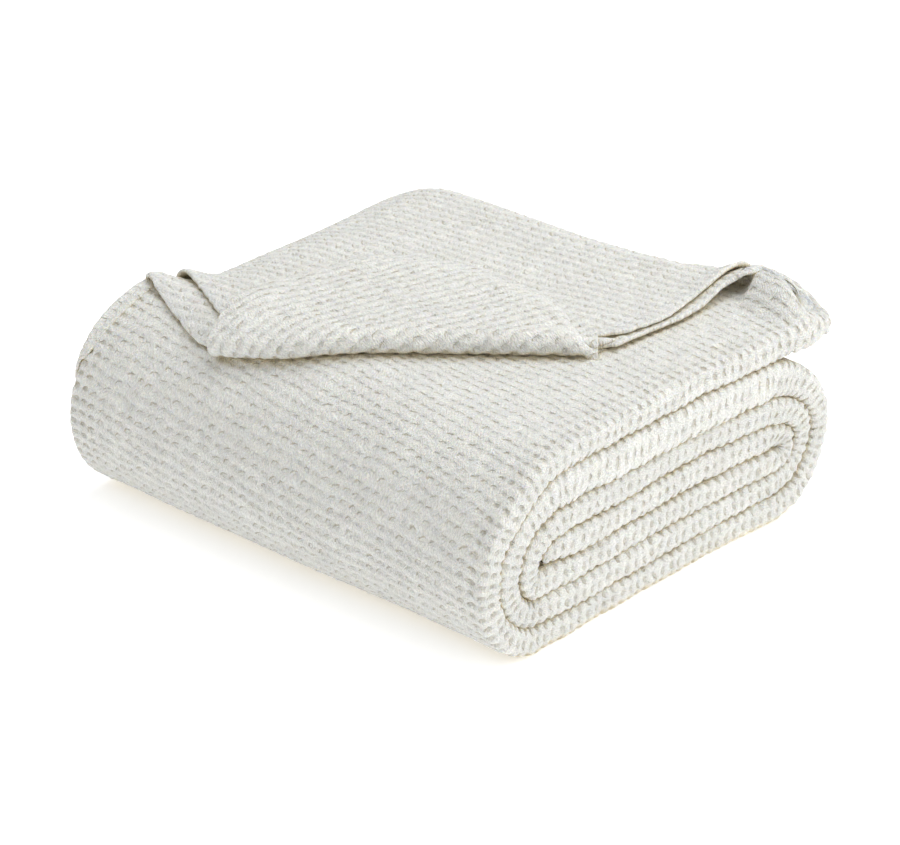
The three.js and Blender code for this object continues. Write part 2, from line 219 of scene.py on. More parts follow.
def noise3(p, size, seed):
    """Smooth value noise from -1 to 1, with features about size across."""
    q = np.asarray(p, float) / size + seed * SEED_SHIFT
    cell = np.floor(q)
    f = smooth(q - cell)
    total = 0.0
    for corner in np.ndindex(2, 2, 2):
        weight = 1.0
        for axis in range(3):
            weight = weight * (f[..., axis] if corner[axis] else 1 - f[..., axis])
        x, y, z = np.moveaxis(cell + corner, -1, 0)
        total = total + weight * hash01(x + LAYER_SHIFT[0] * z, y - LAYER_SHIFT[1] * z, seed)
    return 2 * total - 1


def noise2(a, b, size, seed):
    return noise3(pack(a, b, 0.0), size, seed)


def step(x, start, over):
    """0 up to start, and smoothly on to 1."""
    return smooth((x - start) / over)


def hump(k, g, height, at, over):
    """A soft hump over a place on a sheet, with its half widths both ways."""
    return height * bump((k - at[0]) / over[0]) * bump((g - at[1]) / over[1])


def layered(p, terms):
    """Noises added up: each term is an amount, a size and a seed."""
    return sum(amount * noise3(p, size, seed) for amount, size, seed in terms)


def ramps(x, base, steps):
    """base, plus each step's rise, taken smoothly from its start over its length."""
    for rise, start, over in steps:
        base = base + rise * step(x, start, over)
    return base


def spread(start, stop, gap):
    """Even stations after start, up to and with stop."""
    count = max(int(round(abs(stop - start) / gap)), 1)
    return np.linspace(start, stop, count + 1)[1:]


def stations(length, gap, rim=1.6):
    """Stations from 0 to length, close together at both ends for a rounded rim."""
    close = rim * np.array([0.0, 0.06, 0.25, 0.55])
    middle = np.linspace(rim, length - rim, max(int(round((length - 2 * rim) / gap)), 1) + 1)
    return np.concatenate([close, middle, (length - close)[::-1]])


def running(steps):
    """The length gone before and after each step."""
    return np.concatenate([[0], np.cumsum(steps)])


def path_marks(p):
    """The length gone at each point of a path."""
    return running(np.linalg.norm(np.diff(p, axis=0), axis=1))


def along_path(marks, gone, p):
    """The points of a path at new marks along it."""
    return np.stack([np.interp(marks, gone, column) for column in p.T], axis=1)


def between(outer, inner, n):
    """Points between two faces: on the outer where n is 1, on the inner where it is -1."""
    return (outer + inner) / 2 + (outer - inner) / 2 * n


def unit(v):
    return v / np.maximum(np.linalg.norm(v, axis=-1, keepdims=True), 1e-12)


def grid_normals(p):
    return unit(np.cross(np.gradient(p, axis=0), np.gradient(p, axis=1)))


# ---- The knit's relief ----

def lattice(across, along):
    """Where a place on the flat cloth lies among the pits, which sit at whole numbers."""
    a = across / CELL_ACROSS + CELL_DRIFT * noise2(across, along, DRIFT_ACROSS, 1)
    b = along / CELL_ALONG + CELL_DRIFT * noise2(across, along, DRIFT_ALONG, 2)
    a = a + CELL_WANDER * noise2(across, along, WANDER_SIZE, 3)
    b = b + CELL_WANDER * noise2(across, along, WANDER_SIZE, 4)
    return a, b + CELL_SKEW * a


def relief(a, b, opened):
    """Height of the knit at a place in the lattice; opened is how far its pits stand open."""
    i, j = np.round(a), np.round(b)
    da, db = a - i, b - j - PIT_SHIFT
    wide = PIT_WIDE + PIT_WIDER * hash01(i, j, 3)
    tall = np.where(db > 0, PIT_UP, PIT_DOWN) + PIT_TALLER * hash01(i, j, 4)
    lean = PIT_LEAN * (hash01(i, j, 5) - LEAN_MEAN)
    r2 = ((da + lean * db) / wide) ** 2 + (db / tall) ** 2
    depth = PIT_SHALLOWEST + (1 - PIT_SHALLOWEST) * hash01(i, j, 6)
    pits = np.exp(-r2 ** PIT_WALL) * depth
    puff = PUFF_ALONG * np.cos(2 * math.pi * (b + PUFF_ALONG_AT))
    puff = puff + PUFF_ACROSS * np.cos(2 * math.pi * (a + PUFF_ACROSS_AT))
    yarn = layered(pack(a, b, 0.0) * YARN_SCALE, YARN)
    return PIT_DEPTH * opened * (PIT_MEAN - pits) + puff + yarn


def settle(p):
    """The slow unevenness of soft cloth, the same for every layer at one place, and the sag of
    the roll's left end."""
    x, y, z = p[..., 0], p[..., 1], p[..., 2]
    left = np.clip((SAG_FROM - x) / SAG_OVER, 0, 1.2) ** SAG_POWER
    behind = step(y, *SAG_BEHIND)
    sag = SAG * left * behind * np.clip(z / WRAP_TOP, 0, 1.05) ** SAG_HEIGHT_POWER
    lift = smooth(z / SETTLE_FREE)
    return p + pack(layered(p, SETTLE_X), layered(p, SETTLE_Y), lift * layered(p, SETTLE_Z) - sag)


# ---- Meshes ----

def add_object(name, data):
    obj = bpy.data.objects.new(name, data)
    bpy.context.scene.collection.objects.link(obj)
    return obj


def mesh_object(name, points, faces, material):
    mesh = bpy.data.meshes.new(name)
    mesh.vertices.add(len(points))
    mesh.vertices.foreach_set("co", np.ascontiguousarray(points, np.float32).ravel())
    mesh.loops.add(faces.size)
    mesh.loops.foreach_set("vertex_index", np.ascontiguousarray(faces, np.int32).ravel())
    mesh.polygons.add(len(faces))
    starts = np.arange(0, faces.size, faces.shape[1], dtype=np.int32)
    mesh.polygons.foreach_set("loop_start", starts)
    mesh.update(calc_edges=True)
    mesh.shade_smooth()
    mesh.materials.append(material)
    return add_object(name, mesh)


def add_cloth_layers(obj, places, a, b, opened):
    """The cloth's own coordinates, in pits, and how far its pits stand open."""
    mesh = obj.data
    index = np.empty(len(mesh.loops), np.int32)
    mesh.loops.foreach_get("vertex_index", index)
    chosen = places[index]
    uv = mesh.uv_layers.new(name="cloth")
    pair = np.stack([a.ravel()[chosen], b.ravel()[chosen]], axis=1)
    uv.data.foreach_set("uv", pair.astype(np.float32).ravel())
    layer = mesh.attributes.new("open", "FLOAT", "POINT")
    layer.data.foreach_set("value", opened.astype(np.float32).ravel())


def grid_faces(index):
    quads = [index[:-1, :-1], index[:-1, 1:], index[1:, 1:], index[1:, :-1]]
    return np.stack(quads, axis=-1).reshape(-1, 4)


def open_sheet(name, p, across, along, opened):
    """One face of cloth, as a grid of points with the knit pressed into it where it is open."""
    a, b = lattice(across, along)
    opened = np.broadcast_to(opened, a.shape)
    pressed = np.where(opened > 0, 1.0, 0.0)
    p = p - grid_normals(p) * (relief(a, b, opened) * pressed)[..., None]
    index = np.arange(a.size).reshape(a.shape)
    obj = mesh_object(name, to_row(p.reshape(-1, 3)), grid_faces(index), KNIT)
    add_cloth_layers(obj, index.ravel(), a, b, opened)
    return obj


def rim_distance(p, axis):
    """How far each point of a grid is from the nearer rim, along one axis of the grid."""
    steps = np.linalg.norm(np.diff(p, axis=axis), axis=-1)
    total = np.insert(np.cumsum(steps, axis=axis), 0, 0.0, axis=axis)
    last = np.take(total, [-1], axis=axis)
    return np.minimum(total, last - total)


def closed_sheet(name, p, across, along, material, thick, pits):
    """A thin closed piece of cloth about a grid of points, with rounded edges all round; pits is
    one of the reliefs."""
    rows, columns = rim_distance(p, 0), rim_distance(p, 1)
    half = thick / 2
    for distance in (rows, columns):
        inside = np.clip(distance / (thick / 2), 0, 1)
        half = half * np.sqrt(1 - (1 - inside) ** 2)
    fade = RIM_RELIEF + (1 - RIM_RELIEF) * smooth(np.minimum(rows, columns) / RIM_WIDE)
    a, b = lattice(across, along)
    n = grid_normals(p)
    open_above, open_below, amount = pits
    top = p + n * (half + fade * relief(a, b, open_above) * amount)[..., None]
    below = p - n * (half + fade * relief(a, b, open_below) * amount)[..., None]
    index = np.arange(a.size).reshape(a.shape)
    inner = np.zeros(a.shape, bool)
    inner[1:-1, 1:-1] = True
    under = index.copy()
    under[inner] = a.size + np.arange(inner.sum())
    points = np.concatenate([top.reshape(-1, 3), below[inner]])
    places = np.concatenate([index.ravel(), index[inner]])
    faces = np.concatenate([grid_faces(index)[:, ::-1], grid_faces(under)])
    obj = mesh_object(name, to_row(points), faces, material)
    opened = np.broadcast_to(open_above * fade, a.shape)
    add_cloth_layers(obj, places, a, b, np.concatenate([opened.ravel(), opened[inner]]))
    return obj


# ---- Materials ----

CREAM = (0.785, 0.785, 0.745)
# Painted pit shade: the darker, warmer colour of the shade in pits and hooks, on the knit and,
# lighter, on the hems.
KNIT_PIT_SHADE, HEM_PIT_SHADE = (0.45, 0.395, 0.28), (0.58, 0.53, 0.42)
THREAD_COLOUR, SATIN_COLOUR = (0.78, 0.775, 0.745), (0.80, 0.80, 0.79)
WHITE = (1, 1, 1, 1)
COTTON = {
    "Roughness": 0.94,
    "Sheen Weight": 0.15,
    "Sheen Roughness": 0.6,
    "Specular IOR Level": 0.12,
    "Subsurface Weight": 0.35,
    "Subsurface Radius": (1.0, 0.72, 0.40),
    "Subsurface Scale": 2.0 * MM,
}
MIX_INPUTS, MIX_RESULT = (0, 6, 7), 2
CELL_JITTER = (0.16, 0.14)
# The hook: a thin ring of painted shadow along the upper rim of each pit, where the rim above
# shades it; its bump also presses it in as a groove.
HOOK_SHIFT = 0.17
HOOK_LEAN, HOOK_SLANT = -0.45, -0.55
HOOK_WIDE, HOOK_TALL, HOOK_SQUARE = 0.33, 0.20, 3.0
HOOK_RING, HOOK_SOFT, HOOK_SHARP = 0.9, 0.36, 0.05
HOOK_SHADE = 0.72
# Painted crevice shade: the warm dark tint mixed into crevices, and how far the occlusion looks
# for them.
CREVICE_SHADE_TINT, CREVICE_SHADE_REACH = (1.0, 0.90, 0.70, 1), 9.0 * MM
STRANDS = ((42, (8.0, 4.2, 1)), (-42, (8.0, 4.2, 1)), (4, (8.5, 3.8, 1)))
WARP, WARP_SCALE, WARP_DETAIL = 0.42, 2.2, 2.5
PATCH_SCALE, PATCH_DETAIL = 0.22, 3.0
YARN_BUMP, HOOK_BUMP, HOLE_BUMP = 2.4, -0.5, -0.3


class Maths:
    """Shader nodes as short calls. What goes into an input is a value or another node's output."""

    def __init__(self, tree):
        self.nodes, self.links = tree.nodes, tree.links

    def put(self, socket, value):
        if hasattr(value, "is_linked"):
            self.links.new(value, socket)
        else:
            socket.default_value = value

    def node(self, kind, inputs, **settings):
        node = self.nodes.new("ShaderNode" + kind)
        for name, value in settings.items():
            setattr(node, name, value)
        for name, value in inputs.items():
            self.put(node.inputs[name], value)
        return node

    def do(self, operation, *values):
        return self.node("Math", dict(enumerate(values)), operation=operation).outputs[0]

    def ramp(self, value, low, high, to=(0.0, 1.0)):
        inputs = {"Value": value, "From Min": low, "From Max": high,
                  "To Min": to[0], "To Max": to[1]}
        return self.node("MapRange", inputs, interpolation_type="SMOOTHSTEP").outputs["Result"]

    def noise(self, vector, scale, detail, output="Fac"):
        inputs = {"Vector": vector, "Scale": scale, "Detail": detail}
        return self.node("TexNoise", inputs).outputs[output]

    def mix(self, factor, low, high, blend="MIX"):
        inputs = dict(zip(MIX_INPUTS, (factor, low, high)))
        node = self.node("Mix", inputs, data_type="RGBA", blend_type=blend)
        return node.outputs[MIX_RESULT]


def cotton(shader):
    for name, value in COTTON.items():
        shader.inputs[name].default_value = value


def new_material(name):
    material = bpy.data.materials.new(name)
    material.use_nodes = True
    return material, Maths(material.node_tree), material.node_tree.nodes["Principled BSDF"]


def cloth_vector(m):
    return m.node("UVMap", {}, uv_map="cloth").outputs["UV"]


def bumped(m, shader, height, distance, strength):
    inputs = {"Height": height, "Strength": strength, "Distance": distance * MM}
    m.put(shader.inputs["Normal"], m.node("Bump", inputs).outputs["Normal"])


def stitch_cell(m, vector):
    """The place in one cell of the knit, moved a little by that cell's own chance, and the
    chance that is left over for how dark the painted shadow of its hook is."""
    split = m.node("SeparateXYZ", {0: vector})
    x, y = split.outputs[0], split.outputs[1]
    i, j = m.do("ROUND", x), m.do("ROUND", y)
    cell = m.node("CombineXYZ", {0: i, 1: j}).outputs[0]
    chance = m.node("TexWhiteNoise", {"Vector": cell}, noise_dimensions="2D")
    parts = m.node("SeparateColor", {0: chance.outputs["Color"]})
    r = [m.do("SUBTRACT", parts.outputs[k], 0.5) for k in range(3)]
    da = m.do("MULTIPLY_ADD", r[0], CELL_JITTER[0], m.do("SUBTRACT", x, i))
    db = m.do("MULTIPLY_ADD", r[1], CELL_JITTER[1], m.do("SUBTRACT", y, j))
    return da, db, r[2]


def crescent(m, da, db):
    """A hook of painted shadow along the upper edge and down one side of a pit, where the rim
    above shades it, and the pit's own round.
    """
    lean = m.do("ABSOLUTE", m.do("MULTIPLY_ADD", db, HOOK_LEAN, da))
    e = m.do("POWER", m.do("DIVIDE", lean, HOOK_WIDE), HOOK_SQUARE)
    f = m.do("POWER", m.do("ABSOLUTE", m.do("DIVIDE", db, HOOK_TALL)), HOOK_SQUARE)
    q = m.do("POWER", m.do("ADD", e, f), 1 / HOOK_SQUARE)
    off_ring = m.do("ABSOLUTE", m.do("SUBTRACT", q, HOOK_RING))
    ring = m.ramp(off_ring, HOOK_SOFT, HOOK_SHARP)
    upper = m.ramp(m.do("MULTIPLY_ADD", da, HOOK_SLANT, db), 0.02, 0.16)
    return m.do("MULTIPLY", ring, upper), m.ramp(q, 1.05, 0.45)


def painted_crevice_shade(m):
    """Painted shade: the colour is made darker and warmer in crevices and recesses, where ambient
    occlusion finds the cloth shut in.
    """
    node = m.node("AmbientOcclusion", {"Distance": CREVICE_SHADE_REACH}, samples=6)
    shade = m.ramp(node.outputs["AO"], 0.25, 0.85)
    return m.mix(shade, CREVICE_SHADE_TINT, WHITE)


def strands(m, vector):
    """Fine yarns crossing each other at a slant, and running up beside the pits."""
    sets = []
    for degrees, scale in STRANDS:
        turn = (0, 0, math.radians(degrees))
        place = m.node("Mapping", {"Vector": vector, "Rotation": turn, "Scale": scale})
        sets.append(m.noise(place.outputs[0], 1.0, 1.0))
    return m.do("MAXIMUM", m.do("MAXIMUM", sets[0], sets[1]), sets[2])


def warped(m, vector):
    """The cloth's own coordinates, bent a little so that no row of pits is straight."""
    bend = m.noise(vector, WARP_SCALE, WARP_DETAIL, "Color")
    inputs = {0: bend, 1: (WARP, WARP, 0.0), 2: vector}
    return m.node("VectorMath", inputs, operation="MULTIPLY_ADD").outputs[0]


def knit_material(name, pit):
    material, m, shader = new_material(name)
    cotton(shader)
    vector = cloth_vector(m)
    da, db, chance = stitch_cell(m, warped(m, vector))
    da, db = m.do("SUBTRACT", da, HOOK_SHIFT), m.do("SUBTRACT", db, HOOK_SHIFT)
    hook, hole = crescent(m, da, db)
    vary = m.ramp(chance, -0.5, 0.4, (0.05, 0.95))
    opened = m.node("Attribute", {}, attribute_name="open")
    # Painted shade in the pits: their rounds are filled more where the pits stand open.
    fill = m.ramp(opened.outputs["Fac"], 0.35, 0.7, (0.05, 0.34))
    # Painted shadow: the hooks, each as dark as its cell's chance.
    dark = m.do("MULTIPLY", hook, vary)
    dark = m.do("MULTIPLY_ADD", dark, HOOK_SHADE, m.do("MULTIPLY", hole, fill))
    yarn = strands(m, vector)
    patch = m.ramp(m.noise(vector, PATCH_SCALE, PATCH_DETAIL), 0.2, 0.8, (0.975, 1.02))
    # Painted light and shade across the rows: lighter on the raised ridges between rows of pits,
    # darker along the rows.
    ridge_shading = m.ramp(m.do("ABSOLUTE", db), 0.10, 0.55, (0.965, 1.02))
    # Painted shade and highlight at yarn scale: the strand noise darkens the colour between
    # strands and lightens it on them; the patches are the cloth's own uneven tone.
    tone = m.do("MULTIPLY", patch, m.ramp(yarn, 0.47, 0.68, (0.87, 1.06)))
    tone = m.do("MULTIPLY", tone, ridge_shading)
    # Painted shade: cream mixed towards the pit-shade colour in the hooks and the pits.
    colour = m.mix(m.do("MINIMUM", dark, 1.0), (*CREAM, 1), (*pit, 1))
    # Painted shade: the cloth's colour multiplied darker and warmer in its crevices.
    colour = m.mix(1.0, colour, painted_crevice_shade(m), "MULTIPLY")
    m.put(shader.inputs["Base Color"], m.mix(1.0, colour, tone, "MULTIPLY"))
    height = m.do("MULTIPLY_ADD", yarn, YARN_BUMP, m.do("MULTIPLY", hook, HOOK_BUMP))
    height = m.do("MULTIPLY_ADD", hole, HOLE_BUMP, height)
    bumped(m, shader, height, 1.0, 1.0)
    return material


def plain_material(name, base, grain, ribs):
    """Plain thread or ribbon: a fine grain, and low ribs across it."""
    material, m, shader = new_material(name)
    cotton(shader)
    vector = cloth_vector(m)
    fine = m.noise(vector, grain, 4.0)
    wave = m.node("TexWave", {"Vector": vector, "Scale": ribs, "Distortion": 2.0})
    tone = m.ramp(fine, 0.3, 0.7, (0.955, 1.02))
    m.put(shader.inputs["Base Color"], m.mix(1.0, (*base, 1), tone, "MULTIPLY"))
    bumped(m, shader, m.do("MULTIPLY_ADD", wave.outputs["Fac"], 0.35, fine), 0.5, 0.6)
    return material


KNIT = knit_material("cotton_knit", KNIT_PIT_SHADE)
HEM_CLOTH = knit_material("pressed_hem", HEM_PIT_SHADE)
THREAD_MATERIAL = plain_material("sewing_thread", THREAD_COLOUR, 14.0, 3.0)
SATIN = plain_material("satin_label", SATIN_COLOUR, 20.0, 6.0)


# ---- The rolled strip ----

def quarter(side, reach, height, turn, angles, thick):
    """Outer and inner points of a quarter turn: an ellipse and its inset."""
    front = side == "front"
    apex = turn * PITCH if front else DEPTH - turn * PITCH
    centre = apex + reach if front else apex - reach
    level = FRONT_LEVEL if front else BACK_LEVEL
    sign = -1 if front else 1
    pairs = []
    for inset in (0, thick):
        pairs.append(centre + sign * (reach - inset) * np.cos(angles))
        pairs.append(level + (height - inset) * np.sin(angles))
    return np.stack(pairs, axis=1)


def turn_path(side, turn, top, thick_top=BAND):
    """One end of a turn, from its top to its bottom; the band may be thinner at the top."""
    reach = FRONT_REACH if side == "front" else BACK_REACH
    level = FRONT_LEVEL if side == "front" else BACK_LEVEL
    up = reach[0] - turn * PITCH
    down = max(reach[1] - turn * PITCH, PITCH)
    t = np.linspace(0, 1, 40)
    thick = thick_top + (BAND - thick_top) * t
    upper = quarter(side, up, top - level, turn, (1 - t) * math.pi / 2, thick)
    lower = quarter(side, down, level - turn * PITCH, turn, -t * math.pi / 2, BAND)
    return np.concatenate([upper, lower[1:]])


def core_path():
    """The strip's inner end: a tongue with a rounded nose."""
    t = np.linspace(0.05, 1, 16)
    rise = np.sin(t * math.pi / 2)
    y = CORE_FRONT + CORE_NOSE * (1 - np.cos(t * math.pi / 2))
    middle = CORE_TOP - BAND / 2 - CORE_SAG * (1 - rise)
    half = rise * BAND / 2
    return np.stack([y, middle + half, y, middle - half], axis=1)


def roll_stretches():
    """The strip's path from its inner end outwards, in named stretches."""
    second = SECOND_TOP - THIRD_TOP - GAP
    back = [turn_path("back", k, top, thick) for k, top, thick in
            ((0, SECOND_TOP, second), (1, THIRD_TOP, BAND), (2, CORE_TOP, BAND))]
    front = [turn_path("front", k, top, thick)[::-1] for k, top, thick in
             ((0, WRAP_TOP, BAND), (1, SECOND_TOP, second), (2, THIRD_TOP, BAND))]
    return {
        "core": np.concatenate([core_path(), back[2], front[2], back[1][:1]]),
        "middle": np.concatenate([back[1], front[1], back[0][:1]]),
        "under": np.concatenate([back[0], front[0][:1]]),
        "front": front[0],
    }


def resample(points, gap):
    """Points at an even spacing of about gap along a path."""
    s = path_marks(points[:, :2])
    marks = np.concatenate([[0], spread(0, s[-1], gap)])
    return along_path(marks, s, points), marks


def section(outer_gap, inner_gap, gap):
    """The strip's folded section: x and depth (1 outside, -1 inside) along the cloth's width.

    The cloth starts at its hemmed edge, wrapped round the left end, folds under at the right
    end, and goes on inwards, fold in fold, to its other edge in the middle.
    """
    left, right = -HALF + END_ROUND, HALF - END_ROUND
    start = np.linspace(EDGE_WRAP, 0, 22)
    x = [left - END_ROUND * np.sin(start) ** END_SQUARE]
    n = [np.cos(start)]

    def flat(to, depth, step):
        x.append(spread(x[-1][-1], to, step))
        n.append(np.full(len(x[-1]), depth))

    def fold(centre, sign, first, last, radius, step):
        length = math.pi * (abs(first - last) * BAND / 4 + radius) / 2
        a = spread(0, math.pi, math.pi * step / length)
        x.append(centre + sign * radius * np.clip(np.sin(a), 0, 1) ** END_SQUARE)
        n.append((first + last) / 2 + (first - last) / 2 * np.cos(a))

    flat(left + END_NEAR, 1.0, gap)
    flat(right - END_NEAR, 1.0, outer_gap)
    flat(right, 1.0, gap)
    fold(right, 1, 1.0, -1.0, END_ROUND, gap)
    flat(right - END_NEAR, -1.0, gap)
    flat(left + END_NEAR, -1.0, inner_gap)
    flat(left + 1, -1.0, gap)
    fold(left + 1, -1, -1.0, 0.5, END_ROUND - FOLD_STEP_IN, gap)
    flat(right - HIDDEN_IN, 0.5, HIDDEN_GAP)
    fold(right - HIDDEN_IN, 1, 0.5, -0.5, 4.0, 3.0)
    flat(left + HIDDEN_IN, -0.5, HIDDEN_GAP)
    fold(left + HIDDEN_IN, -1, -0.5, 0.0, 3.0, 3.0)
    flat(right - 2 * HIDDEN_IN, 0.0, HIDDEN_GAP)
    return np.concatenate(x), np.concatenate(n)


def end_wander(along):
    """How far a band's folded end stands in or out, along the strip."""
    return layered(pack(along, 0.0, 0.0), END_WANDER)


def rolled_cloth(name, yz, along, x, n, slide=0.0, measured=False):
    """The folded section along the strip: yz has each row's points, for every column. Measured,
    the knit follows each column's own length."""
    across = running(np.hypot(np.diff(x), np.diff(n) * BAND / 2))
    stretch = np.abs(x / HALF) ** 3 * np.sign(x)
    xx = x[None, :] + end_wander(along)[:, None] * stretch[None, :] + slide
    at_end = step(np.abs(x), *END_PART)
    xx = xx + at_end * noise2(along[:, None], across[None, :], END_ROUGH_SIZE, 61)
    p = settle(np.concatenate([xx[..., None], yz], axis=-1))
    hidden = np.gradient(across) > 3.0
    opened = np.where(hidden, 0.0, ROLL_OPEN + END_MORE_OPEN * at_end)[None, :]
    a, s = np.broadcast_arrays(across[None, :], along[:, None])
    if measured:
        gone = np.cumsum(np.linalg.norm(np.diff(p, axis=0), axis=-1), axis=0)
        s = along[0] + np.concatenate([np.zeros((1, len(x))), gone])
    return open_sheet(name, p, a, s, opened)


def banded(path, n):
    """The points of a path's band at each depth in it."""
    return between(path[:, None, 0:2], path[:, None, 2:4], n[None, :, None])


def declare_strip(obj):
    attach(obj, "roll")


def make_turns():
    """The strip from its inner end, round and round, to the front's top shoulder."""
    plan = (("core", 1.3, HIDDEN_GAP), ("middle", 1.3, HIDDEN_GAP), ("under", 1.4, 1.4),
            ("front", FINE, FINE))
    pieces, start = {}, 0.0
    for key, gap, outer_gap in plan:
        path, marks = resample(roll_stretches()[key], gap)
        x, n = section(outer_gap, HIDDEN_GAP, gap)
        obj = rolled_cloth("rolled_" + key, banded(path, n), start + marks, x, n)
        declare_strip(obj)
        pieces[key] = obj
        start += marks[-1]
    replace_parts(pieces["core"], "roll_core", "inner_turn")
    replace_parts(pieces["middle"], "middle_turn")
    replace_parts(pieces["front"], "outer_turn")
    return start


def lip_middle(x):
    """How far behind the front the lip's turn has its middle: further at the right end."""
    return ramps(x, LIP_MIDDLE, LIP_MIDDLE_STEPS)


def lip_top(x):
    """How high the lip's crest stands: highest just left of the right end."""
    return ramps(x, LIP_TOP, LIP_TOP_STEPS)


def hollow_half(x):
    """Half the height of the hollow inside the lip."""
    return ramps(x, HOLLOW_HALF, HOLLOW_STEPS)


def lip_slide(angle, x):
    """The strip's right end draws in to the left as the lip turns forward."""
    turned = np.clip((np.degrees(angle) + 10) / 110, 0, 1)
    return -LIP_SLIDE * turned ** LIP_SLIDE_POWER * step(x, *LIP_SLIDE_RIGHT)


def lip_upper_face(x, ahead, angle, solid):
    """The lip's inside, which bounds its hollow; where the lip is solid it follows the crest."""
    middle, top, half = lip_middle(x)[None, :], lip_top(x)[None, :], hollow_half(x)[None, :]
    start = middle - LIP_RUN
    y = np.concatenate([start + (LIP_RUN - 2) * ahead, middle - 2 + HOLLOW_DEEP * np.cos(angle)])
    z = np.concatenate([WRAP_TOP + 0 * (start + ahead), WRAP_TOP + half * (1 + np.sin(angle))])
    gone = np.linspace(0, 1, len(y))[:, None]
    full_y = start + (LIP_RUN + LIP_FULL) * gone
    climb = smooth((full_y - start - 2) / (LIP_RUN - 4))
    full_z = WRAP_TOP + (top - WRAP_TOP - 0.5) * climb
    return pack(y + (full_y - y) * solid, z + (full_z - z) * solid)


def lip_lower_face(x, ahead, angle):
    """The lip's outside."""
    middle = lip_middle(x)[None, :]
    start = middle - LIP_RUN
    first = WRAP_TOP - BAND
    high = (lip_top(x)[None, :] - LIP_BOTTOM) / 2
    y = np.concatenate([start + LIP_RUN * ahead, middle + LIP_DEEP * np.cos(angle)])
    z = np.concatenate([first + (LIP_BOTTOM - first) * smooth(ahead) + 0 * start,
                        LIP_BOTTOM + high * (1 + np.sin(angle))])
    return pack(y, z)


def lip_faces(x):
    """Rows of the lip's two faces for every column, with the angle turned at each row. The last
    rows close the lip's edge, or cover its crest where the lip is solid."""
    ahead = np.linspace(0, 1, LIP_RUN_ROWS + 1)[:-1, None]
    solid = step(x, *LIP_SOLID)[None, :]
    turn = 90 + LIP_LAST - LIP_SHORTER * solid
    angle = np.radians(-90 + turn * np.linspace(0, 1, LIP_TURN_ROWS)[:, None])
    upper = lip_upper_face(x, ahead, angle, solid)
    lower = lip_lower_face(x, ahead, angle)
    turned = np.concatenate([np.full(LIP_RUN_ROWS, -math.pi / 2), angle[:, 0],
                             np.full(LIP_EDGE_ROWS, angle[-1, 0])])

    t = np.linspace(0, 1, LIP_EDGE_ROWS + 1)[1:, None]
    closing = np.sin(t * math.pi / 2)[..., None]
    edge = (upper[-1:] + lower[-1:]) / 2 + pack(-LIP_EDGE_IN * (1 - solid[0]), 0.0)[None]
    over = np.radians(LIP_LAST - LIP_SHORTER * (1 + t))
    middle, high = lip_middle(x)[None, :], (lip_top(x)[None, :] - LIP_BOTTOM) / 2
    uncovered = step(x, *LIP_UNCOVERED)
    faces = []
    for face, depth in zip((upper, lower), LIP_COVER):
        lift = depth * np.sqrt(1 - t * t) * (1 - uncovered) - LIP_COVER_SUNK
        cover = pack(middle + (LIP_DEEP + lift) * np.cos(over),
                     LIP_BOTTOM + high + (high + lift) * np.sin(over))
        rounded = face[-1:] + (edge - face[-1:]) * closing
        faces.append(np.concatenate([face, rounded + (cover - rounded) * solid[..., None]]))
    return faces[0], faces[1], turned


def make_top(start):
    """The top of the roll, from the front shoulder to the lip, and the lip itself."""
    x, n = section(FINE, HIDDEN_GAP, FINE)
    begin = FRONT_REACH[0]
    t = np.linspace(0, 1, 160)[:, None]
    y = begin + (lip_middle(x)[None, :] - LIP_RUN - begin) * t
    z = WRAP_TOP - BAND / 2 * (1 - n)[None, :] + 0 * y
    along = start + t[:, 0] * (lip_middle(HALF) - LIP_RUN - begin)
    top = rolled_cloth("rolled_top", pack(y, z), along, x, n)
    declare_strip(top)

    x, n = section(2.4, 1.15, 1.15)
    upper, lower, turned = lip_faces(x)
    yz = between(upper, lower, n[None, :, None])
    length = LIP_RUN + math.pi * (LIP_DEEP + LIP_ROUND)
    marks = along[-1] + np.linspace(0, length, len(turned))
    slide = lip_slide(turned[:, None], x[None, :])
    lip = rolled_cloth("rolled_lip", yz, marks, x, n, slide, measured=True)
    declare_strip(lip)
    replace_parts(top, "top_wrap")
    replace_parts(lip, "loop_outer_ply", "loop_inner_ply")


# ---- Places on the flap ----

def shoulder(u):
    """Depth, height and outward direction of the roll's outside at u: the depth, and past the
    shoulder's start the length along the shoulder's curve."""
    turn = np.linspace(0, math.pi / 2, 120)
    reach, high = FRONT_REACH[0], WRAP_TOP - FRONT_LEVEL
    y, z = reach - reach * np.sin(turn), FRONT_LEVEL + high * np.cos(turn)
    gone = running(np.hypot(np.diff(y), np.diff(z)))
    t = np.interp(reach - u, gone, turn)
    ny, nz = -np.sin(t) / reach, np.cos(t) / high
    size = np.hypot(ny, nz)
    flat_y = np.where(u > reach, u, reach - reach * np.sin(t))
    return flat_y, FRONT_LEVEL + high * np.cos(t), ny / size, nz / size


